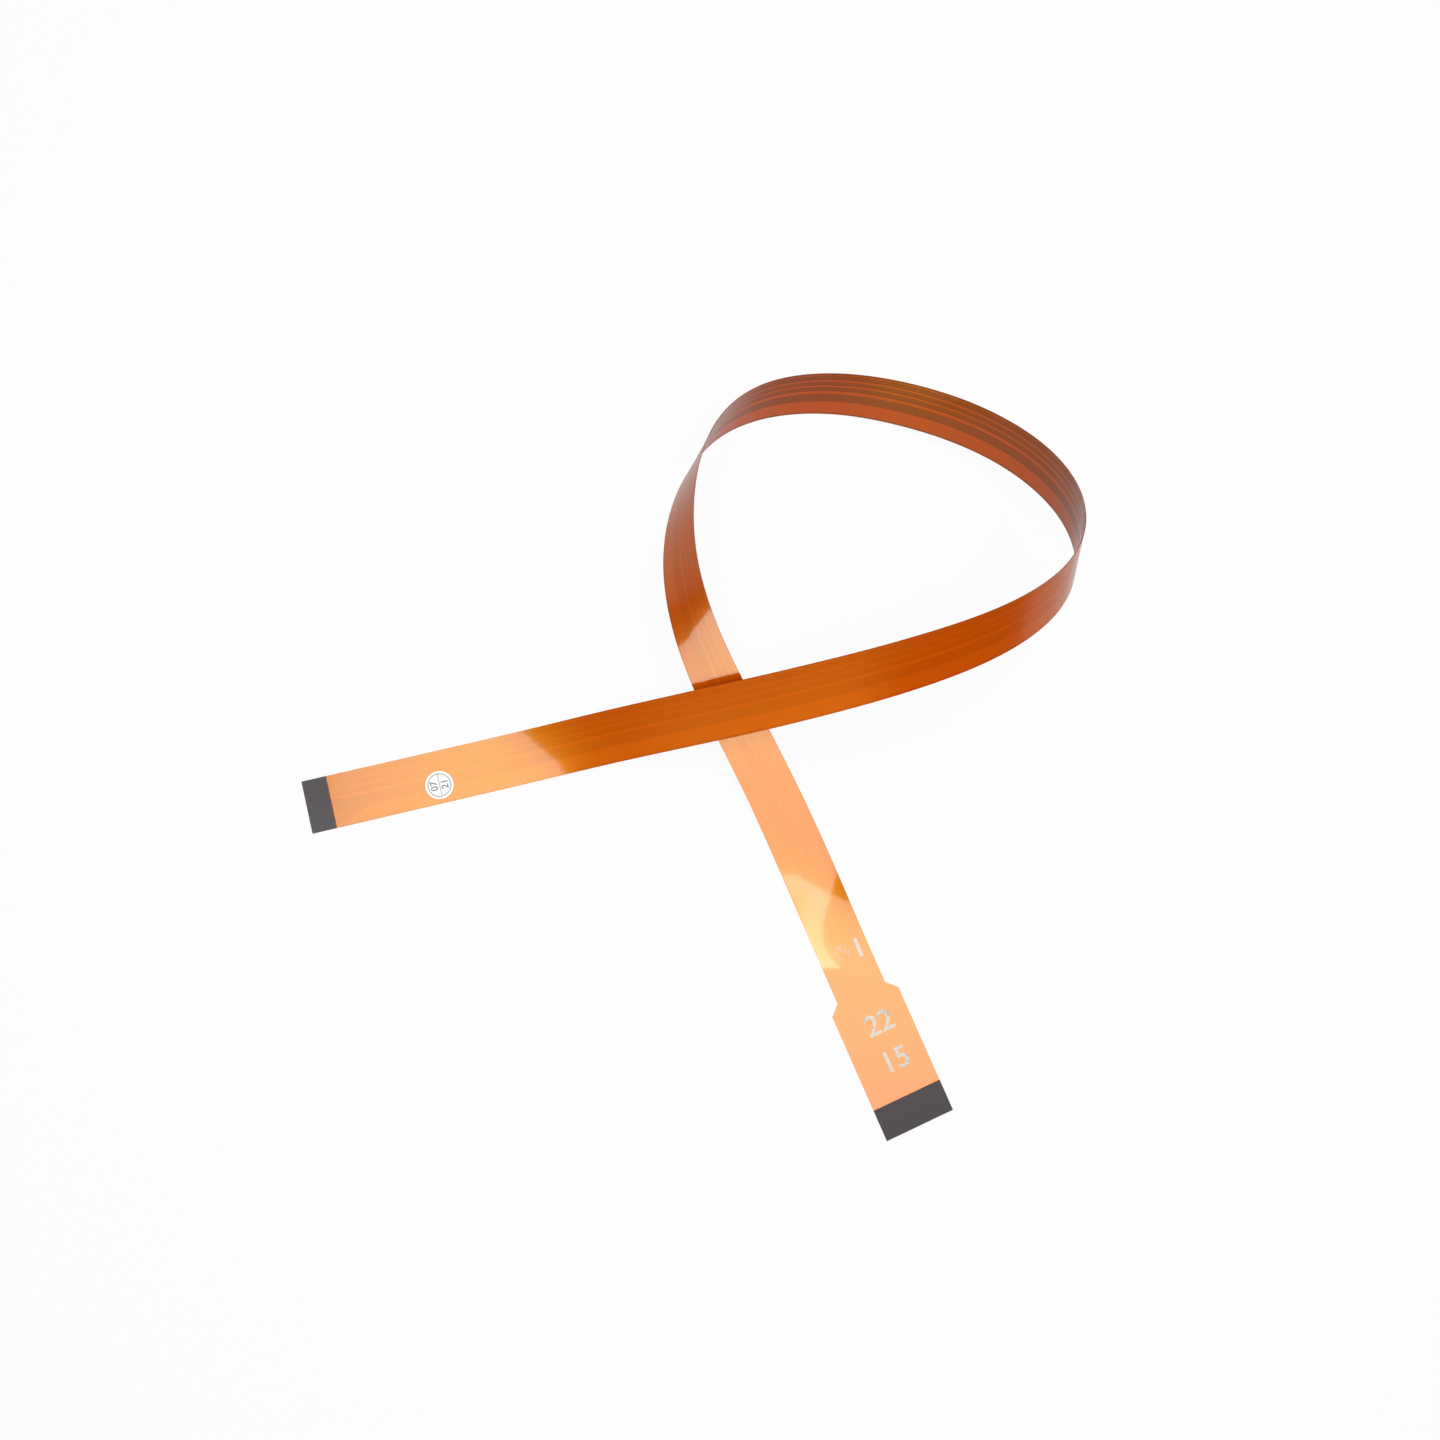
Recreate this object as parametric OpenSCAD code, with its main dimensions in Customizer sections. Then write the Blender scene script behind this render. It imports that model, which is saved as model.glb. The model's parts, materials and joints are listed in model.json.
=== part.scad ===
// Flat flex adapter cable: a fine-pitch end with 22 contacts joined to a coarse-pitch end with 15,
// laid down in one open loop. Millimetres, +Z up, z = 0 is the surface that the cable lies on.
//
// Everything on the cable is described on the flat strip first: a distance along it from the narrow
// end, a side from its centre line and a level from its underside. layer() then carries those flat
// outlines along the route. A thin strip can only bend along straight lines, so the route is turned
// into flat panels that meet at folds, and every layer has its corners on the same folds. That is why
// the films and the copper between them nest without touching.

/* [Ends] */
// Contacts at the narrow end
narrow_contacts = 22; // [20:1:24]
// Distance from contact to contact at the narrow end
narrow_pitch = 0.5; // [0.4:0.05:0.65]
// Contacts at the wide end, one for each track
wide_contacts = 15; // [15:1:15]
// Distance from contact to contact at the wide end
wide_pitch = 1.0; // [0.8:0.05:1.25]
// Film from the centre of an outer contact to the edge beside it, narrow end
narrow_margin = 0.5; // [0.4:0.05:0.8]
// Film from the centre of an outer contact to the edge beside it, wide end
wide_margin = 1.0; // [0.7:0.05:1.2]
// Length of the wide head, with its sloping shoulders
head_length = 31.2; // [22:0.2:40]
// Length of the contacts that the cover film leaves bare, narrow end
narrow_bare = 3.8; // [2.5:0.1:4.5]
// Length of the contacts that the cover film leaves bare, wide end
wide_bare = 5; // [3:0.1:6]
// Film left between the tip of a contact and the cut end
tip_margin = 0.2; // [0.1:0.05:0.4]

/* [Layers] */
// Thickness of the cover film, on the contact side
cover_t = 0.045; // [0.025:0.005:0.1]
// Thickness of the plated copper
copper_t = 0.03; // [0.018:0.002:0.07]
// Thickness of the base film, on the plain side
base_t = 0.045; // [0.025:0.005:0.1]
// Thickness of a stiffened end, from the contacts to the back of the stiffener
end_t = 0.3; // [0.25:0.01:0.4]
// Gap left between layers that are bonded together
bond_gap = 0.002; // [0.001:0.001:0.004]

/* [Copper] */
// Width of a contact at the narrow end
narrow_contact_w = 0.3; // [0.2:0.02:0.35]
// Width of a contact at the wide end
wide_contact_w = 0.7; // [0.4:0.05:0.75]
// Width of a signal track
signal_w = 0.16; // [0.1:0.02:0.22]
// Distance between the centres of the two tracks of a pair
pair_pitch = 0.34; // [0.3:0.02:0.44]
// Width of the ground tracks beside the pairs
ground_w = 0.44; // [0.3:0.02:0.5]
// Width of the last ground track
return_w = 0.86; // [0.5:0.02:0.9]
// Width of the supply track
supply_w = 3.4; // [2.6:0.1:3.8]
// Film beside the supply track
track_margin = 0.35; // [0.3:0.05:0.5]
// Distance from each end over which the tracks run straight into their contacts
straight_in = 7; // [6:0.5:9]
// Length over which the tracks spread at the narrow end
narrow_spread = 6; // [5:0.5:10]
// Length over which the tracks spread at the wide end
wide_spread = 12; // [8:0.5:14]
// Length of a contact that has no track
spare_length = 4.4; // [3:0.1:6]

/* [Stiffeners] */
// Length of the stiffener at the narrow end
narrow_stiffener = 5.2; // [4:0.1:8]
// Length of the stiffener at the wide end
wide_stiffener = 7; // [5.5:0.1:10]

/* [Sticker] */
// Diameter of the round inspection sticker
sticker_d = 6.1; // [4:0.1:8]
// Thickness of the sticker
sticker_t = 0.08; // [0.05:0.01:0.12]
// Distance of the sticker's centre from the narrow end
sticker_at = 28.4; // [10:0.2:29]
// Side of the sticker's centre, negative towards the inside of the supply track
sticker_side = -1.7; // [-2:0.1:2]

/* [Hidden] */
$fn = 96;

// How the strip lies: x and y of its centre line on the surface, its height, and the roll in degrees
// of its plain face, which looks up at 0 and away from the middle of the loop at 90. The first five
// and the last five points lie on straight lines, so both ends are flat on the surface. The strip
// climbs over its own rear strand, turns on edge, touches down at the far side of the loop and runs
// back under itself.
route = [
    [-80.4, -11.1, 0, 0],
    [-69.4, -8.5, 0, 0],
    [-58.4, -5.9, 0, 0],
    [-47.4, -3.3, 0, 0],
    [-36.4, -0.7, 0, 0],
    [-25.6, 1.9, 1.3, 4.5],
    [-15, 4.3, 4.4, 7],
    [-4.8, 6.3, 8.9, 11.5],
    [5.1, 8.2, 13.9, 14.5],
    [15.1, 10.1, 18.7, 18.5],
    [25.2, 12.3, 23.1, 23],
    [35.5, 14.7, 27, 27.5],
    [46, 17.6, 30.2, 32],
    [56.5, 21.1, 32.4, 38],
    [66.7, 25.8, 33.1, 45.5],
    [75.8, 32.6, 31.4, 56],
    [81.3, 41.8, 26.9, 73.5],
    [81.5, 51.9, 21.2, 94],
    [77.3, 61, 15.8, 108.5],
    [70, 68.5, 11.4, 115.5],
    [60.7, 74.2, 8.2, 120],
    [50.3, 78.1, 6.1, 121.5],
    [39.3, 80.5, 5.1, 120],
    [28, 80.8, 5.2, 117.5],
    [16.9, 78.3, 6.7, 111.5],
    [7.8, 72.1, 9.8, 95.5],
    [2.2, 62.7, 13.2, 80],
    [-0.7, 52.2, 16.2, 66],
    [-1.3, 41, 18.1, 55],
    [0.8, 29.8, 18.2, 46],
    [4.8, 19.4, 16.2, 38],
    [9.8, 9.9, 12.7, 31],
    [15, 0.8, 8.6, 27],
    [20.1, -8.6, 4.9, 22],
    [24.9, -18.4, 2.3, 15],
    [29.5, -28.6, 0.8, 7.5],
    [34, -38.9, 0, 0],
    [38.55, -49.2, 0, 0],
    [43.1, -59.5, 0, 0],
    [47.65, -69.8, 0, 0],
    [52.2, -80.1, 0, 0]
];
last = len(route) - 1;
// The last point of the first straight run, and the first point of the last one
lead_in = 4;
lead_out = 36;
// Longest panel between two folds
panel_max = 5.5;
// Steps to a span when the route is measured
steps = 12;
// Most that a fold may be skewed: degrees of twist for each degree of bend
skew_max = 2;
// Distances closer than this count as one
near = 0.01;

// Across the strip
strip_w = (narrow_contacts - 1) * narrow_pitch + 2 * narrow_margin;
wide_w = (wide_contacts - 1) * wide_pitch + 2 * wide_margin;
shoulder = (wide_w - strip_w) / 2;

// Through the strip, from its underside
copper_from = cover_t + bond_gap;
copper_to = copper_from + copper_t;
base_from = copper_to + bond_gap;
base_to = base_from + base_t;
plate_from = base_to + bond_gap;
plate_to = copper_from + end_t;

// ---- the route as a smooth curve: a uniform cubic B-spline that starts and ends on its end points

function control(i) = i < 0 ? 2 * route[0] - route[1]
    : i > last ? 2 * route[last] - route[last - 1]
    : route[i];

function on_route(t) =
    let (i = max(0, min(floor(t), last - 1)), f = t - i)
    ((1 - f) ^ 3 * control(i - 1) + (3 * f ^ 3 - 6 * f ^ 2 + 4) * control(i)
        + (-3 * f ^ 3 + 3 * f ^ 2 + 3 * f + 1) * control(i + 1) + f ^ 3 * control(i + 2)) / 6;

function place(v) = [v[0], v[1], v[2]];
function unit(v) = v / norm(v);

marks = [for (k = [0:last * steps]) on_route(k / steps)];
// Distance along the strip against the route's own parameter
measured = [for (k = 0, d = 0; k <= last * steps; k = k + 1,
    d = k > last * steps ? d : d + norm(place(marks[k]) - place(marks[k - 1]))) [d, k / steps]];
length = measured[last * steps][0];
function distance_at(t) = measured[t * steps][0];
function at(distance) = on_route(lookup(distance, measured));

// ---- folds

bend_from = distance_at(lead_in - 1);
bend_to = distance_at(lead_out + 1);
panels = ceil((bend_to - bend_from) / panel_max);
panel = (bend_to - bend_from) / panels;
folds = concat([0], [for (i = [0:panels]) bend_from + i * panel], [length]);
fold_points = [for (d = folds) place(at(d))];
n = len(folds) - 1;
headings = [for (i = [0:n - 1]) unit(fold_points[i + 1] - fold_points[i])];

// A panel's normal for a heading and a roll, and the roll of the panel that a normal stands for
function level_side(heading) = unit(cross([0, 0, 1], heading));
function normal(heading, roll) =
    let (side = level_side(heading), up = cross(heading, side)) cos(roll) * up - sin(roll) * side;
function roll_of(heading, v) =
    let (side = level_side(heading), up = cross(heading, side)) atan2(-v * side, v * up);
// The same normal after the heading has turned, with no twist
function carried(v, heading) = unit(v - (v * heading) * heading);

// The panels' normals follow the rolls of the route. A fold twists the strip by its skew for each
// degree that it bends it, so the skew is limited, and changes little from one fold to the next:
// two folds must not cross inside the strip.
skew_step = 0.8 * panel / (strip_w / 2);
function limited(v, middle, reach) = max(middle - reach, min(middle + reach, v));
function next_panel(i, before) =
    let (still = carried(before[0], headings[i]),
        bend = asin(before[0] * headings[i]),
        wanted = i == n - 1 ? 0 : at((folds[i] + folds[i + 1]) / 2)[3],
        now = roll_of(headings[i], still),
        ideal = abs(bend) < 1e-6 ? 0 : limited((wanted - now) / bend, 0, skew_max),
        skew = limited(ideal, before[1], skew_step))
    [normal(headings[i], now + skew * bend), skew];
normals = [for (i = 0, p = [[0, 0, 1], 0]; i < n; i = i + 1, p = i < n ? next_panel(i, p) : p) p[0]];

// One fold: its point on the centre line, the step along it for a millimetre of side, and the step
// for a millimetre of level. Both keep to the planes of the two panels that meet there.
function fold(i) =
    let (a = normals[max(0, i - 1)], b = normals[min(n - 1, i)],
        ahead = headings[min(n - 1, i)], behind = headings[max(0, i - 1)],
        side = unit(cross(a, behind) + cross(b, ahead)),
        crease = norm(cross(a, b)) < 1e-7 ? side : unit(cross(a, b)))
    [fold_points[i], crease / (crease * side), (a + b) / (1 + a * b)];
fold_list = [for (i = [0:n]) fold(i)];

// The same three for any distance, carried straight across the panel that it is on
function panel_of(d) = d < bend_from ? 0 : d >= bend_to ? n - 1 : 1 + floor((d - bend_from) / panel);
function section(d) =
    let (i = min(panel_of(d), n - 1), f = (d - folds[i]) / (folds[i + 1] - folds[i]))
    (1 - f) * fold_list[i] + f * fold_list[i + 1];

// ---- layers

// The distances that an outline needs: its own, and the folds between them
function stops(outline) = concat(
    [for (j = [0:len(outline) - 2])
        for (d = concat([outline[j][0]],
            [for (d = folds) if (d > outline[j][0] + near && d < outline[j + 1][0] - near) d])) d],
    [outline[len(outline) - 1][0]]);

// A closed solid between two levels. outline is a list of [distance, low side, high side].
module layer(outline, from, to) {
    low = [for (o = outline) [o[0], o[1]]];
    high = [for (o = outline) [o[0], o[2]]];
    ds = stops(outline);
    points = [for (d = ds)
        let (s = section(d), a = s[0] + lookup(d, low) * s[1], b = s[0] + lookup(d, high) * s[1])
        for (p = [a + from * s[2], b + from * s[2], b + to * s[2], a + to * s[2]]) p];
    tail = len(points) - 4;
    faces = concat([[0, 1, 2, 3]], [[tail + 3, tail + 2, tail + 1, tail]],
        [for (i = [0:len(ds) - 2]) for (k = [0:3])
            [4 * i + k, 4 * i + 4 + k, 4 * i + 4 + (k + 1) % 4, 4 * i + (k + 1) % 4]]);
    polyhedron(points = points, faces = faces, convexity = 10);
}

// The outline of the film between two distances, with the shoulders where the head starts
function film(from, to) =
    let (s = strip_w / 2, w = wide_w / 2, neck = length - head_length)
    [[from, -s, s], [neck, -s, s], [neck + shoulder, -w, w], [to, -w, w]];

module cover_film() {
    color("darkorange") layer(film(narrow_bare, length - wide_bare), 0, cover_t);
}

module base_film() {
    color("orange") layer(film(0, length), base_from, base_to);
}

// ---- copper

// Number of the narrow contact that each track starts from; the rest have no track
used_contacts = [1, 2, 3, 4, 5, 6, 7, 8, 9, 10, 17, 18, 20, 21, 22];
function is_spare(c) = len([for (u = used_contacts) if (u == c) u]) == 0;
spare_contacts = [for (c = [1:narrow_contacts]) if (is_spare(c)) c];

function narrow_side(c) = ((narrow_contacts - 1) / 2 - (c - 1)) * narrow_pitch;
function wide_side(k) = ((wide_contacts - 1) / 2 - (k - 1)) * wide_pitch;
function band(centre, width) = [centre - width / 2, centre + width / 2];

// Sides of the copper in the strip. Three pairs lie each between two ground tracks, which run straight
// on from their contacts. The supply track fills the low side, and the four control tracks share what
// is left between it and the last ground track.
supply_high = -strip_w / 2 + track_margin + supply_w;
return_high = narrow_side(10) + narrow_contact_w / 2;
return_low = return_high - return_w;
control_pitch = (return_low - supply_high) / 5;
function pair_middle(p) = (narrow_side(3 * p + 2) + narrow_side(3 * p + 3)) / 2;
function track_band(k) = k == 15 ? [supply_high - supply_w, supply_high]
    : k > 10 ? band(return_low - (k - 10) * control_pitch, signal_w)
    : k == 10 ? [return_low, return_high]
    : k % 3 == 1 ? band(narrow_side(k), k == 1 ? narrow_contact_w : ground_w)
    : band(pair_middle(floor((k - 1) / 3)) + (k % 3 == 2 ? pair_pitch : -pair_pitch) / 2, signal_w);

function with(d, sides) = [d, sides[0], sides[1]];

// One track is one piece of copper with a contact at each end
module conductor(k) {
    start = band(narrow_side(used_contacts[k - 1]), narrow_contact_w);
    end = band(wide_side(k), wide_contact_w);
    color("goldenrod") layer([
        with(tip_margin, start),
        with(straight_in, start),
        with(straight_in + narrow_spread, track_band(k)),
        with(length - straight_in - wide_spread, track_band(k)),
        with(length - straight_in, end),
        with(length - tip_margin, end)
    ], copper_from, copper_to);
}

module spare_contact(c) {
    pad = band(narrow_side(c), narrow_contact_w);
    color("gold") layer([with(tip_margin, pad), with(spare_length, pad)], copper_from, copper_to);
}

// ---- stiffeners and sticker, on the plain face of the flat ends

// Puts its children at a distance and side along the strip, with X along it and Z off its plain face
module seat(d, side, level) {
    i = min(panel_of(d), n - 1);
    along = headings[i];
    across = cross(normals[i], along);
    to = section(d)[0] + side * across + level * normals[i];
    multmatrix([for (k = [0:2]) [along[k], across[k], normals[i][k], to[k]]]) children();
}

module stiffener(d, long, wide) {
    color("dimgray") seat(d, 0, plate_from)
        translate([0, -wide / 2, 0]) cube([long, wide, plate_to - plate_from]);
}

module stiffener_narrow() {
    stiffener(0, narrow_stiffener, strip_w);
}

module stiffener_wide() {
    stiffener(length - wide_stiffener, wide_stiffener, wide_w);
}

module inspection_sticker() {
    color("white") seat(sticker_at, sticker_side, plate_from)
        cylinder(h = sticker_t, d = sticker_d);
}

// ---- nodes

function numbered(name, i) = str(name, i < 10 ? "_0" : "_", i);

cover_film();
base_film();
for (k = [1:wide_contacts]) conductor(k);
for (c = spare_contacts) spare_contact(c);
stiffener_narrow();
stiffener_wide();
inspection_sticker();
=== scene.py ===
# %% [markdown]
# # A flat flex adapter cable
# The cable is a laminate a fifth of a millimetre thin and 450 mm long: copper tracks between two
# amber films, with a stiff plate at each end. The measured model is loaded first. It stays fixed, and
# everything made here lies in the same place.

# %% Load the measured model
import bisect
import json
import math
import bmesh
import bpy
from mathutils import Matrix, Vector

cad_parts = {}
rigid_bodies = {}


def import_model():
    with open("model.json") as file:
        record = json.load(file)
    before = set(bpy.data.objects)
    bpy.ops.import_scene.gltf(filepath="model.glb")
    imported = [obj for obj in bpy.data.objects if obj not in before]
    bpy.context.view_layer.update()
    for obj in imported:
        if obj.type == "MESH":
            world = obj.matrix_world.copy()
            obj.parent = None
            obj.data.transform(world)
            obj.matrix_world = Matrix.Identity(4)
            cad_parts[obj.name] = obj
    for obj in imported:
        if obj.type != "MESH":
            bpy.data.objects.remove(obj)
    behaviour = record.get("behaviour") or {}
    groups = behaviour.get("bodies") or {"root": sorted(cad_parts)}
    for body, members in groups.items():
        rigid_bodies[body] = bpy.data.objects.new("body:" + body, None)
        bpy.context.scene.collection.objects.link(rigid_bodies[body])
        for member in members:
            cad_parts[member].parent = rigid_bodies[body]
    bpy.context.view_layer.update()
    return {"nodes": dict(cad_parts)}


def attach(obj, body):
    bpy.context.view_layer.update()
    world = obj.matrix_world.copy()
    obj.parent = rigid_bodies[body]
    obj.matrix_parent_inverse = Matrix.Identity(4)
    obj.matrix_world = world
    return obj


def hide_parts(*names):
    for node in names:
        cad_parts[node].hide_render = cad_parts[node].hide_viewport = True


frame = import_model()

# %% [markdown]
# ## Where the eye is
# The cable is seen almost straight from above, from close by, so the part of it that stands up in the
# loop comes nearer and looks larger. The camera is turned so that its right side stays level with X.

# %% Camera
eye = Vector((-0.0061, -0.00951, 0.24894))
looks_at = Vector((0.0086, 0.0082, 0))
forward = (looks_at - eye).normalized()
right = forward.cross(Vector((0, 1, 0))).normalized()
camera = bpy.data.objects.new("camera", bpy.data.cameras.new("camera"))
camera.data.sensor_width = 36
camera.data.lens = 28.26
camera.matrix_world = Matrix.LocRotScale(
    eye, Matrix((right, right.cross(forward), -forward)).transposed().to_quaternion(), None)
bpy.context.scene.collection.objects.link(camera)
bpy.context.scene.camera = camera
print("camera", round((looks_at - eye).length * 1000), "mm away")

# %% [markdown]
# ## The way the strip lies
# The route is a smooth curve through space with a roll: x, y and z in millimetres, and how far the
# plain face leans over, in degrees. Both ends are straight and flat on the table. A uniform cubic
# B-spline is used because its bend and its twist change without a jump, as they do in a springy strip.

# %% Route
route = [Vector(p) for p in (
    (-80.4, -11.1, 0, 0), (-69.4, -8.5, 0, 0), (-58.4, -5.9, 0, 0), (-47.4, -3.3, 0, 0),
    (-36.4, -0.7, 0, 0), (-25.6, 1.9, 1.3, 4.5), (-15, 4.3, 4.4, 7), (-4.8, 6.3, 8.9, 11.5),
    (5.1, 8.2, 13.9, 14.5), (15.1, 10.1, 18.7, 18.5), (25.2, 12.3, 23.1, 23),
    (35.5, 14.7, 27, 27.5), (46, 17.6, 30.2, 32), (56.5, 21.1, 32.4, 38),
    (66.7, 25.8, 33.1, 45.5), (75.8, 32.6, 31.4, 56), (81.3, 41.8, 26.9, 73.5),
    (81.5, 51.9, 21.2, 94), (77.3, 61, 15.8, 108.5), (70, 68.5, 11.4, 115.5),
    (60.7, 74.2, 8.2, 120), (50.3, 78.1, 6.1, 121.5), (39.3, 80.5, 5.1, 120),
    (28, 80.8, 5.2, 117.5), (16.9, 78.3, 6.7, 111.5), (7.8, 72.1, 9.8, 95.5),
    (2.2, 62.7, 13.2, 80), (-0.7, 52.2, 16.2, 66), (-1.3, 41, 18.1, 55), (0.8, 29.8, 18.2, 46),
    (4.8, 19.4, 16.2, 38), (9.8, 9.9, 12.7, 31), (15, 0.8, 8.6, 27), (20.1, -8.6, 4.9, 22),
    (24.9, -18.4, 2.3, 15), (29.5, -28.6, 0.8, 7.5), (34, -38.9, 0, 0), (38.55, -49.2, 0, 0),
    (43.1, -59.5, 0, 0), (47.65, -69.8, 0, 0), (52.2, -80.1, 0, 0))]
last = len(route) - 1


def control(i):
    """A point of the route. One more at each end makes the curve start and stop on its end points."""
    if i < 0:
        return 2 * route[0] - route[1]
    return 2 * route[last] - route[last - 1] if i > last else route[i]


def on_route(t):
    i = max(0, min(math.floor(t), last - 1))
    f = t - i
    return ((1 - f) ** 3 * control(i - 1) + (3 * f ** 3 - 6 * f ** 2 + 4) * control(i)
            + (-3 * f ** 3 + 3 * f ** 2 + 3 * f + 1) * control(i + 1) + f ** 3 * control(i + 2)) / 6


steps = 12  # marks between two points of the route
nudge = 0.01  # how far before and after a mark its direction is taken
marks = [on_route(k / steps) for k in range(last * steps + 1)]
reach = [0.0]
for a, b in zip(marks, marks[1:]):
    reach.append(reach[-1] + (b.xyz - a.xyz).length)
length = reach[-1]


def section(distance):
    """The point of the centre line there, the way across the strip, and the way out of its plain face."""
    k = max(0, min(bisect.bisect_right(reach, distance) - 1, last * steps - 1))
    t = (k + (distance - reach[k]) / (reach[k + 1] - reach[k])) / steps
    here = on_route(t)
    ahead = (on_route(t + nudge) - on_route(t - nudge)).xyz.normalized()
    side = Vector((0, 0, 1)).cross(ahead).normalized()
    roll = math.radians(here.w)
    out = math.cos(roll) * ahead.cross(side) - math.sin(roll) * side
    return here.xyz, out.cross(ahead), out


print("cable", round(length, 1), "mm long")

# %% [markdown]
# ## Copper, on the flat strip
# Each track is a band with a low side and a high side, and both move as the track spreads out into
# its contacts. Three pairs of thin tracks run between wider ground tracks, four thin ones come next,
# and the supply track fills the last third. Fifteen tracks make a wide head of 16 mm.

# %% Tracks
film_half, head_half = 5.75, 8.0
head_length, shoulder = 31.2, 2.25
neck = length - head_length
narrow_pitch, wide_pitch = 0.5, 1.0
narrow_contact, wide_contact = 0.3, 0.7
contact_inset = 0.2
contact_length = 7
narrow_fan, wide_fan = 13, 19
thin_track, edge_track, ground_track = 0.16, 0.3, 0.44
supply_sides, control_sides = (-5.4, -2.0), (0.04, 0.9)
first_pair, pair_step, pair_half = 4.5, 1.5, 0.17
thin_step = 0.408
used_contacts = [1, 2, 3, 4, 5, 6, 7, 8, 9, 10, 17, 18, 20, 21, 22]


def band(centre, width):
    return centre - width / 2, centre + width / 2


def narrow_side(contact):
    """How far out one of the 22 contacts of the narrow end is."""
    return (10.5 - (contact - 1)) * narrow_pitch


def track_band(k):
    """Both sides of track k where it runs straight."""
    if k == 15:
        return supply_sides
    if k > 10:
        return band(control_sides[0] - (k - 10) * thin_step, thin_track)
    if k == 10:
        return control_sides
    if k % 3 == 1:
        return band(narrow_side(k), edge_track if k == 1 else ground_track)
    middle = first_pair - pair_step * ((k - 1) // 3)
    return band(middle + (pair_half if k % 3 == 2 else -pair_half), thin_track)


def track_side(k, high):
    """One side of track k, as distances along the strip and how far out it is there."""
    start = band(narrow_side(used_contacts[k - 1]), narrow_contact)[high]
    run = track_band(k)[high]
    end = band((8 - k) * wide_pitch, wide_contact)[high]
    return [(contact_inset, start), (contact_length, start), (narrow_fan, run),
            (length - wide_fan, run), (length - contact_length, end), (length - contact_inset, end)]


edge = [(0, 1), (neck, 1), (neck + shoulder, head_half / film_half), (length, head_half / film_half)]
film_lines = [[(d, -film_half * w) for d, w in edge]]
for k in range(15, 0, -1):
    film_lines += [track_side(k, 0), track_side(k, 1)]
film_lines.append([(d, film_half * w) for d, w in edge])
last_line = len(film_lines) - 1
print(len(film_lines), "lines run along the film")

# %% [markdown]
# ## One way to make every layer
# A layer starts as a flat grid, is extruded into a block, and each corner of the block is laid on
# the route. Its lines run along the sides of the copper, so that a colour can change exactly there.
# Each corner keeps where it was on the flat strip, as an attribute that the materials read:
# distance in mm, side in mm, and the number of the line.

# %% Layer maker
too_close = 0.05  # no ring of corners this near to another
sharp_corner = math.radians(35)


def along(line, distance):
    """How far out a line is at a distance."""
    for (d0, s0), (d1, s1) in zip(line, line[1:]):
        if distance <= d1:
            return s0 + (s1 - s0) * max(0, distance - d0) / (d1 - d0)
    return line[-1][1]


def corners(made):
    return [part for part in made if isinstance(part, bmesh.types.BMVert)]


def layer(name, lines, start, end, levels):
    """A layer between two distances, and between two levels above the strip's underside."""
    low, high = levels
    turns = {d for line in lines for d, _ in line if start < d < end}
    whole = {d for d in range(math.ceil(start), math.ceil(end)) if all(abs(d - t) > too_close for t in turns)}
    stops = sorted({start, end} | turns | whole)
    rings = [section(d) for d in stops]
    bm = bmesh.new()
    bmesh.ops.create_grid(bm, x_segments=len(stops) - 1, y_segments=len(lines) - 1, size=1)
    block = bmesh.ops.extrude_face_region(bm, geom=bm.faces[:])["geom"]
    bmesh.ops.translate(bm, verts=corners(block), vec=(0, 0, 1))
    flat = bm.verts.layers.float_vector.new("flat")
    for v in bm.verts:
        i = round((v.co.x + 1) / 2 * (len(stops) - 1))
        j = round((v.co.y + 1) / 2 * (len(lines) - 1))
        side = along(lines[j], stops[i])
        middle, across, out = rings[i]
        v[flat] = (stops[i], side, j)
        v.co = (middle + side * across + (high if v.co.z > 0.5 else low) * out) / 1000
    bmesh.ops.recalc_face_normals(bm, faces=bm.faces)
    return finished(name, bm)


def finished(name, bm):
    """A bmesh as a piece that rides on the cable, smooth but for its corners."""
    mesh = bpy.data.meshes.new(name)
    bm.to_mesh(mesh)
    bm.free()
    mesh.polygons.foreach_set("use_smooth", [True] * len(mesh.polygons))
    mesh.set_sharp_from_angle(angle=sharp_corner)
    piece = bpy.data.objects.new(name, mesh)
    bpy.context.scene.collection.objects.link(piece)
    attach(piece, "root")
    print(name, len(mesh.polygons), "faces")
    return piece


# %% [markdown]
# ## The base film
# The base film runs the whole length of the cable. It leaves
# from the narrow end, is as long as the route, and ends in the stiffened head that plugs in.

# %% Base film
cover_levels, copper_levels, base_levels = (0, 0.045), (0.047, 0.077), (0.079, 0.124)
base_film = layer("base_film_laid", film_lines, 0, length, base_levels)
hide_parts("base_film")

# %% [markdown]
# ## Cover film and copper
# The cover film is shorter than the base film, and leaves the contacts bare at both ends. Each of the
# fifteen tracks is one piece of copper, with a contact at each end of it.

# %% Cover film
narrow_bare, wide_bare = 3.8, 5
cover_film = layer("cover_film_laid", film_lines, narrow_bare, length - wide_bare, cover_levels)
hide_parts("cover_film")

# %% Copper tracks
tracks = []
for k in range(1, 16):
    sides = [track_side(k, 0), track_side(k, 1)]
    track = layer(f"track_{k:02d}", sides, contact_inset, length - contact_inset, copper_levels)
    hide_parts(f"conductor_{k:02d}")
    tracks.append(track)

# %% [markdown]
# ## Printing
# A mark is drawn flat first, in millimetres: X is the distance along the strip and Y the side. Then
# each of its corners is laid on the strip, as a layer's corners are, so a mark follows the film where
# that starts to bend. It is a hundredth of a millimetre thick, as ink is.

# %% Ink shapes
figure_share = 0.7  # how much of the letter size a figure's height is


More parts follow.
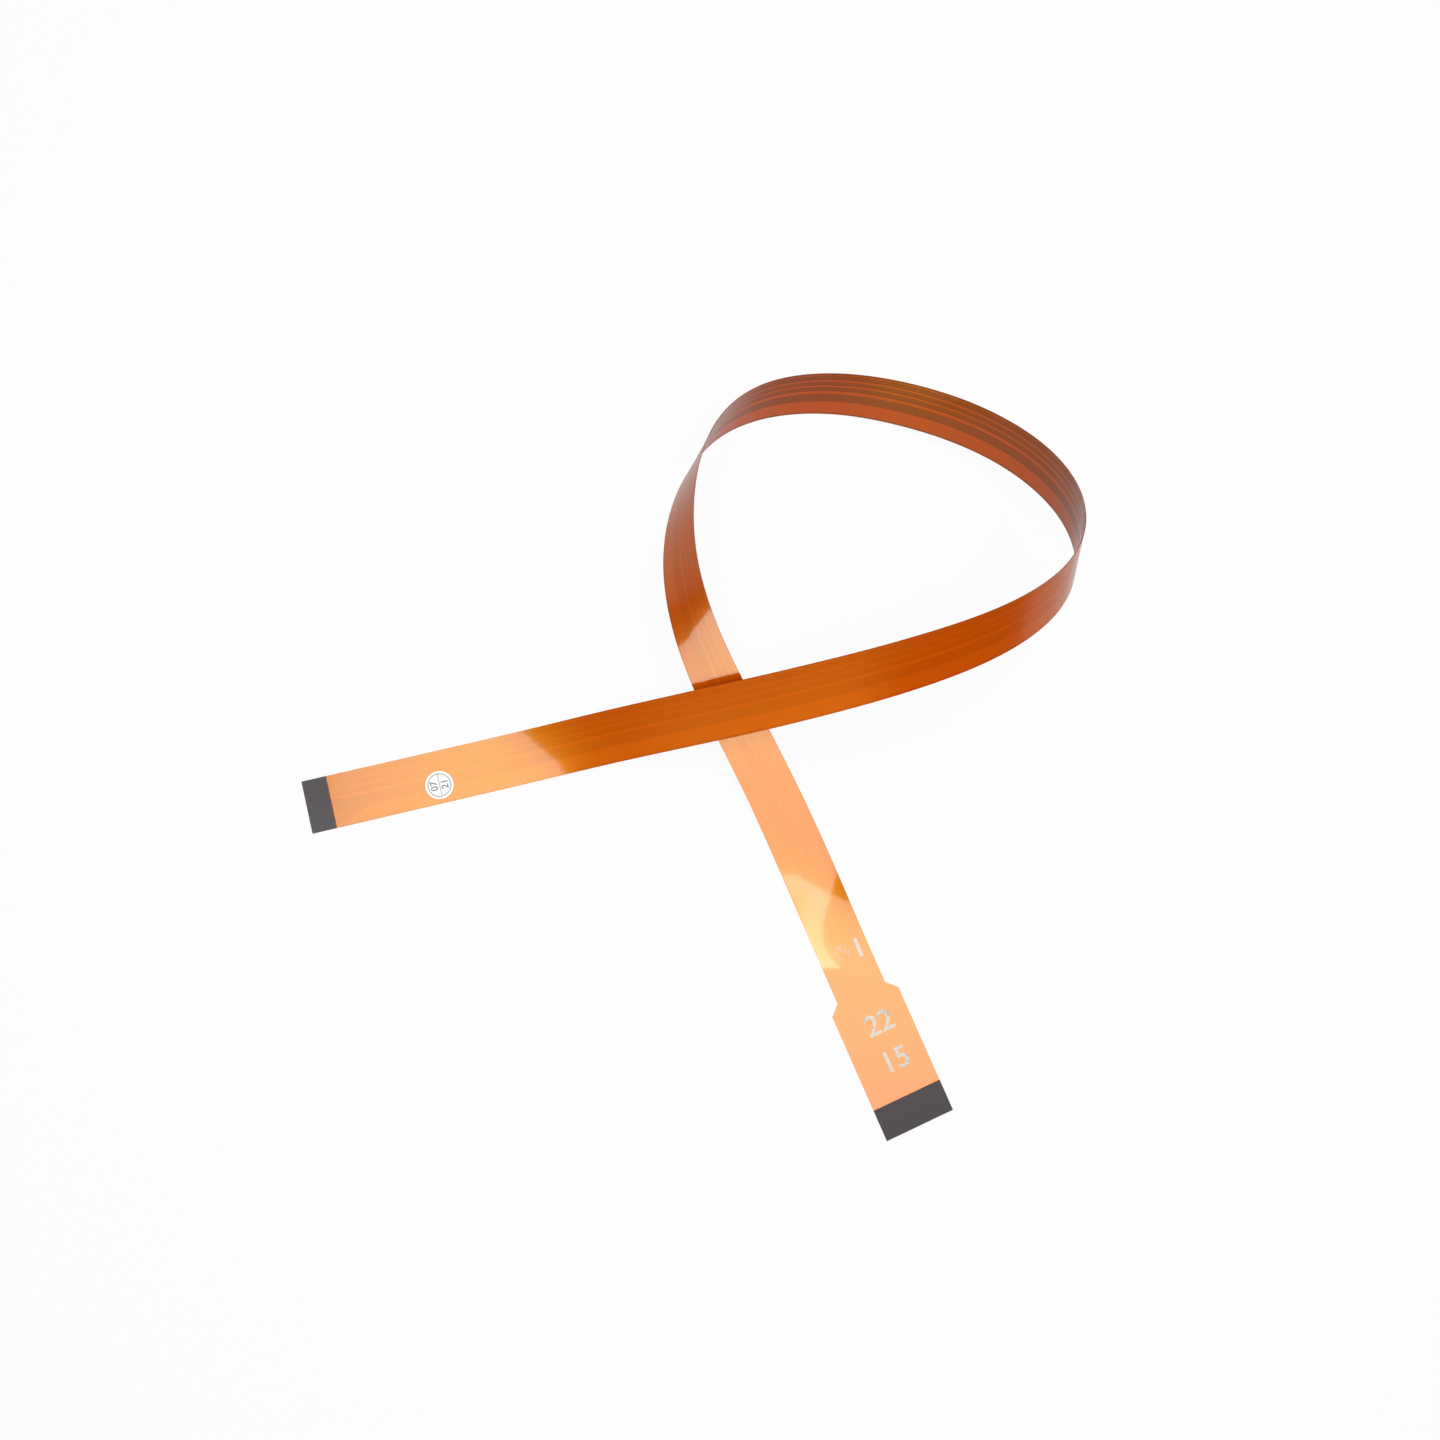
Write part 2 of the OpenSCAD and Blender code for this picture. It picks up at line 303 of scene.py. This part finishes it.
def ring(bm, centre, radius, width, depth):
    """A flat ring of ink."""
    at = Matrix.Translation((centre[0], centre[1], 0))
    inner = bmesh.ops.create_circle(bm, segments=64, radius=radius - width / 2, matrix=at)["verts"]
    edges = list({e for v in inner for e in v.link_edges})
    rim = bmesh.ops.extrude_edge_only(bm, edges=edges)["geom"]
    outer = corners(rim)
    grow = (radius + width / 2) / (radius - width / 2)
    bmesh.ops.scale(bm, verts=outer, vec=(grow, grow, 1), space=at.inverted())
    thicken(bm, [f for f in bm.faces if any(v in outer for v in f.verts)], depth)


def bar(bm, centre, size, depth):
    """A flat bar of ink."""
    made = bmesh.ops.create_grid(bm, x_segments=8, y_segments=1, size=0.5)["verts"]
    bmesh.ops.scale(bm, verts=made, vec=(size[0], size[1], 1))
    bmesh.ops.translate(bm, verts=made, vec=(centre[0], centre[1], 0))
    thicken(bm, list({f for v in made for f in v.link_faces}), depth)


def thicken(bm, faces, depth):
    top = bmesh.ops.extrude_face_region(bm, geom=faces)["geom"]
    bmesh.ops.translate(bm, verts=corners(top), vec=(0, 0, depth))


def digits(bm, text, centre, height, depth, weight):
    """Plain figures, centred, that stand across the strip. Weight makes their strokes wider."""
    curve = bpy.data.curves.new("figures", "FONT")
    curve.body, curve.align_x, curve.align_y = text, "CENTER", "CENTER"
    curve.size, curve.extrude, curve.offset = height / figure_share, depth / 2, weight
    drawn = bpy.data.objects.new("figures", curve)
    mesh = bpy.data.meshes.new_from_object(drawn)
    place = Matrix.Translation((centre[0], centre[1], depth / 2))
    mesh.transform(place @ Matrix.Rotation(math.pi / 2, 4, "Z"))
    bm.from_mesh(mesh)
    for data, kind in ((drawn, bpy.data.objects), (curve, bpy.data.curves), (mesh, bpy.data.meshes)):
        kind.remove(data)


def printed(name, bm, level):
    """Lays the ink on the strip, at a level above its underside."""
    bmesh.ops.remove_doubles(bm, verts=bm.verts, dist=1e-5)
    for v in bm.verts:
        middle, across, out = section(v.co.x)
        v.co = (middle + v.co.y * across + (level + v.co.z) * out) / 1000
    bmesh.ops.recalc_face_normals(bm, faces=bm.faces)
    return finished(name, bm)


# %% Sticker print
fine_ink, film_ink = 0.01, 0.012
on_sticker, on_film = 0.2061, 0.1245
sticker_side = -1.7
bm = bmesh.new()
ring(bm, (28.4, sticker_side), radius=2.45, width=0.16, depth=fine_ink)
bar(bm, (28.45, sticker_side), (0.12, 4.7), fine_ink)
for text, distance in (("07", 27.3), ("21", 29.6)):
    digits(bm, text, (distance, sticker_side), height=1.5, depth=fine_ink, weight=0.03)
sticker_print = printed("sticker_print", bm, on_sticker)

# %% Head print
bm = bmesh.new()
bar(bm, (410.0, 3.45), (4.2, 0.8), film_ink)
for text, distance in (("22", 427.0), ("15", 435.6)):
    digits(bm, text, (distance, 0.9), height=4.6, depth=film_ink, weight=0.05)
head_print = printed("head_print", bm, on_film)

# %% Date grid
bm = bmesh.new()
for row, marked in enumerate(("10110", "01101", "11010", "10011")):
    for column, mark in enumerate(marked):
        if mark == "1":
            bar(bm, (408.3 + 0.85 * row, 1.1 - 0.75 * column), (0.6, 0.45), fine_ink)
date_grid = printed("date_grid", bm, on_film)

[list(section(d)[0] / 1000) for d in range(0, 451)]

# %% [markdown]
# ## Materials
# Colours are written as screens show them and turned to linear light by one function. Another adds a
# node with its settings and its links.

# %% Colour and node helpers
def linear(code):
    parts = [int(code[i:i + 2], 16) / 255 for i in (1, 3, 5)]
    return [c / 12.92 if c <= 0.04045 else ((c + 0.055) / 1.055) ** 2.4 for c in parts] + [1.0]


def add(tree, kind, settings=None, **links):
    """Adds a node. Settings go to its properties, and to its inputs by name or number; so do links."""
    node = tree.nodes.new(kind)
    for key, value in (settings or {}).items():
        if isinstance(key, int) or key in node.inputs:
            node.inputs[key].default_value = value
        else:
            setattr(node, key, value)
    for key, socket in links.items():
        name = int(key[1:]) if key[0] == "_" and key[1:].isdigit() else key.replace("_", " ")
        tree.links.new(socket, node.inputs[name])
    return node


def material(name):
    made = bpy.data.materials.new(name)
    made.use_nodes = True
    made.node_tree.nodes.clear()
    return made, made.node_tree


def finish_material(tree, shader):
    add(tree, "ShaderNodeOutputMaterial", Surface=shader.outputs[0])


def wear(piece, made):
    piece.data.materials.clear()
    piece.data.materials.append(made)


# %% [markdown]
# ### Amber polyimide film over copper foil
# Polyimide is a clear amber plastic. Over bright copper it gives a deep orange, with two
# reflections: a white one from the film's own smooth surface, and an orange one from the copper
# beneath it. The first is a thin coat. The second is the specular layer, tinted and a little rough.
# Where there is no copper the film is darker. The tracks show as lines, strongly on the cover side
# and faintly on the base side, which is thicker in adhesive.

# %% Film material
def film(name, over_copper, between, head, ridge, thin, streaks):
    """Three colours: over the copper, between the tracks, and a painted sheen, paler and pinker, for the flat
    last stretch by the head; the height of the ridges over the copper, in millimetres; how much of the wide
    tracks' shine the thin ones have; and how strong the rolling lines are."""
    made, tree = material(name)
    flat = add(tree, "ShaderNodeAttribute", {"attribute_name": "flat"})
    part = add(tree, "ShaderNodeSeparateXYZ", Vector=flat.outputs["Vector"])
    # 1 in the middle of a copper lane, 0 in the middle of a gap
    shifted = add(tree, "ShaderNodeMath", {"operation": "SUBTRACT", 1: 0.5}, _0=part.outputs["Z"])
    wave = add(tree, "ShaderNodeMath", {"operation": "PINGPONG", 1: 1.0}, _0=shifted.outputs[0])
    copper = add(tree, "ShaderNodeMapRange", {"From Min": 0.42, "From Max": 0.58}, Value=wave.outputs[0])
    # The thin tracks shine less than the wide ones: how much, from one line to the next
    lane = add(tree, "ShaderNodeMath", {"operation": "DIVIDE", 1: last_line}, _0=part.outputs["Z"])
    share = add(tree, "ShaderNodeValToRGB", Fac=lane.outputs[0])
    share.color_ramp.interpolation = "CONSTANT"
    share.color_ramp.elements.remove(share.color_ramp.elements[1])
    share.color_ramp.elements[0].color = (1, 1, 1, 1)
    for line, shine in ((2.5, thin), (10, 1), (12, thin), (16, 1), (18, thin), (22, 1), (24, thin),
                        (28, 0.8)):
        share.color_ramp.elements.new(line / last_line).color = (shine, shine, shine, 1)
    seen = add(tree, "ShaderNodeMath", {"operation": "MULTIPLY"}, _0=copper.outputs[0], _1=share.outputs[0])
    # Rolling lines of the foil: 0.25 mm across and 40 mm along
    stretch = add(tree, "ShaderNodeVectorMath", {"operation": "MULTIPLY", 1: (0.025, 4.0, 0.0)},
                  _0=flat.outputs["Vector"])
    grain = add(tree, "ShaderNodeTexNoise", {"Scale": 1.0, "Detail": 3.0}, Vector=stretch.outputs[0])
    blotch = add(tree, "ShaderNodeTexNoise", {"Scale": 0.12, "Detail": 2.0}, Vector=stretch.outputs[0])
    # The last stretch, with the head, has a painted sheen: a paler, pinker colour stands in for the overhead
    # reflection on the flat end
    painted_head_sheen = add(tree, "ShaderNodeMapRange",
                    {"From Min": 396.0, "From Max": 414.0, "interpolation_type": "SMOOTHSTEP"},
                    Value=part.outputs["X"])
    body = add(tree, "ShaderNodeMix", {"data_type": "RGBA", 6: linear(between), 7: linear(over_copper)},
               _0=seen.outputs[0])
    whole = add(tree, "ShaderNodeMix", {"data_type": "RGBA", 7: linear(head)},
                _0=painted_head_sheen.outputs[0], _6=body.outputs[2])
    shade = add(tree, "ShaderNodeMapRange",
                {"From Min": 0.3, "From Max": 0.7, "To Min": 1 - streaks, "To Max": 1 + streaks},
                Value=grain.outputs[0])
    tone = add(tree, "ShaderNodeVectorMath", {"operation": "SCALE"},
               _0=whole.outputs[2], Scale=shade.outputs[0])
    rough = add(tree, "ShaderNodeMapRange",
                {"From Min": 0.2, "From Max": 0.8, "To Min": 0.27, "To Max": 0.31},
                Value=blotch.outputs[0])
    bump = add(tree, "ShaderNodeBump", {"Strength": 1.0, "Distance": ridge / 1000}, Height=copper.outputs[0])
    shader = add(tree, "ShaderNodeBsdfPrincipled",
                 {"IOR": 1.48, "Specular Tint": (1.0, 0.85, 0.05, 1.0), "Coat Weight": 0.5,
                  "Coat Roughness": 0.08, "Coat IOR": 1.5},
                 Base_Color=tone.outputs[0], Roughness=rough.outputs[0], Normal=bump.outputs[0])
    finish_material(tree, shader)
    return made


# The third colour of each is the painted sheen of the flat last stretch by the head
base_side = film("polyimide_base_film", "#C24D00", "#B24400", "#C75A36",
                 ridge=0.001, thin=0.7, streaks=0.012)
cover_side = film("polyimide_cover_film", "#BE3C00", "#842600", "#BE5020",
                  ridge=0.006, thin=0.3, streaks=0.03)
wear(base_film, base_side)
wear(cover_film, cover_side)

# %% [markdown]
# ### The other finishes
# The contacts are copper with nickel and a thin flash of gold. The stiffeners are dark glass-fibre
# laminate with a satin face. The sticker is white paper, and the inks are matt.

# %% Plain finishes
grain_depth = 0.00001
rough_spread = 0.06


def plain(name, colour, roughness, scale, spread, **settings):
    """A finish with a fine grain. Scale is the size of the grain in millimetres, and spread is how
    much lighter and darker than the colour it goes."""
    made, tree = material(name)
    place = add(tree, "ShaderNodeTexCoord")
    grain = add(tree, "ShaderNodeTexNoise", {"Scale": 1000 / scale, "Detail": 4.0},
                Vector=place.outputs["Object"])
    low = [c * (1 - spread) for c in linear(colour)[:3]] + [1.0]
    high = [c * (1 + spread) for c in linear(colour)[:3]] + [1.0]
    tone = add(tree, "ShaderNodeMix", {"data_type": "RGBA", 6: low, 7: high}, _0=grain.outputs[0])
    rough = add(tree, "ShaderNodeMapRange",
                {"To Min": roughness - rough_spread, "To Max": roughness + rough_spread},
                Value=grain.outputs[0])
    bump = add(tree, "ShaderNodeBump", {"Strength": 0.4, "Distance": grain_depth}, Height=grain.outputs[0])
    shader = add(tree, "ShaderNodeBsdfPrincipled", {k.replace("_", " "): v for k, v in settings.items()},
                 Base_Color=tone.outputs[2], Roughness=rough.outputs[0], Normal=bump.outputs[0])
    finish_material(tree, shader)
    return made


gold = plain("gold_flashed_copper", "#E0B057", 0.28, 0.4, 0.06, Metallic=1.0)
laminate = plain("glass_fibre_laminate_dark", "#363134", 0.58, 0.6, 0.12, IOR=1.3)
paper = plain("sticker_paper_white", "#E6E6E4", 0.5, 0.3, 0.02, IOR=1.4)
sticker_ink = plain("sticker_ink_grey", "#5E6A68", 0.6, 0.3, 0.05, IOR=1.4)
white_ink = plain("screen_print_white", "#CCC5BE", 0.55, 0.3, 0.04, IOR=1.4)
grey_ink = plain("screen_print_faint", "#C9A58F", 0.55, 0.3, 0.06, IOR=1.4)

# %% Put the finishes on
for piece in tracks:
    wear(piece, gold)
for name in frame["nodes"]:
    node = bpy.data.objects.get(name)
    if name.startswith("spare_contact"):
        wear(node, gold)
    elif name.startswith("stiffener"):
        wear(node, laminate)
    elif name == "inspection_sticker":
        wear(node, paper)
wear(sticker_print, sticker_ink)
wear(head_print, white_ink)
wear(date_grid, grey_ink)

# %% [markdown]
# ## Table and light
# The table is plain white. A wide lamp overhead lights everything evenly. A brighter twin just
# below it is only seen in reflections: the two flat ends mirror it, and where the strip turns away
# it shows its own deep orange. A low card in front does the same for the strand that slopes down
# towards the head.

# %% Table
table_half, table_drop = 3, 0.0002
bm = bmesh.new()
bmesh.ops.create_grid(bm, x_segments=1, y_segments=1, size=table_half)
bmesh.ops.translate(bm, verts=bm.verts, vec=(0, 0, -table_drop))
mesh = bpy.data.meshes.new("table_top")
bm.to_mesh(mesh)
bm.free()
table_top = bpy.data.objects.new("table_top", mesh)
bpy.context.scene.collection.objects.link(table_top)
white, tree = material("table_white_matt")
path = add(tree, "ShaderNodeLightPath")
matt = add(tree, "ShaderNodeBsdfDiffuse", {"Color": (0.7, 0.7, 0.7, 1)})
glow = add(tree, "ShaderNodeEmission", {"Color": (1, 1, 1, 1), "Strength": 1.0})
amount = add(tree, "ShaderNodeMath", {"operation": "MULTIPLY", 1: 0.94}, _0=path.outputs["Is Camera Ray"])
shown = add(tree, "ShaderNodeMixShader", _0=amount.outputs[0], _1=matt.outputs[0], _2=glow.outputs[0])
finish_material(tree, shown)
wear(table_top, white)

# %% Light
def lamp(name, radiance, centre, size, towards, lights=True, shines=True):
    """A flat lamp of a given brightness: its power follows from its area. It lights, or shines in
    reflections, or both."""
    data = bpy.data.lights.new(name, "AREA")
    data.shape, data.size, data.size_y = "RECTANGLE", size[0], size[1]
    data.energy = radiance * math.pi * size[0] * size[1]
    made = bpy.data.objects.new(name, data)
    made.location = centre
    made.rotation_euler = Vector(towards).to_track_quat("-Z", "Y").to_euler()
    made.visible_camera = False
    made.visible_diffuse = lights
    made.visible_glossy = shines
    bpy.context.scene.collection.objects.link(made)
    print(name, round(data.energy, 2), "W")


lamp("overhead_lamp", 4.6, (0.056, 0.048, 0.6), (0.605, 0.62), (0, 0, -1), shines=False)
lamp("overhead_glare", 8.0, (0.054, 0.046, 0.585), (0.595, 0.61), (0, 0, -1), lights=False)
lamp("low_card", 8.0, (-0.072, -0.047, 0.031), (0.216, 0.052), (0, 1, 0), lights=False)

# %% Surroundings
world = bpy.data.worlds.new("studio")
bpy.context.scene.world = world
world.use_nodes = True
tree = world.node_tree
tree.nodes.clear()
path = add(tree, "ShaderNodeLightPath")
dark = add(tree, "ShaderNodeBackground", {"Color": (1, 1, 1, 1), "Strength": 0.03})
bright = add(tree, "ShaderNodeBackground", {"Color": (1, 1, 1, 1), "Strength": 1.0})
mixed = add(tree, "ShaderNodeMixShader", _0=path.outputs["Is Camera Ray"],
            _1=dark.outputs[0], _2=bright.outputs[0])
add(tree, "ShaderNodeOutputWorld", Surface=mixed.outputs[0])
bpy.context.scene.view_settings.view_transform = "Standard"
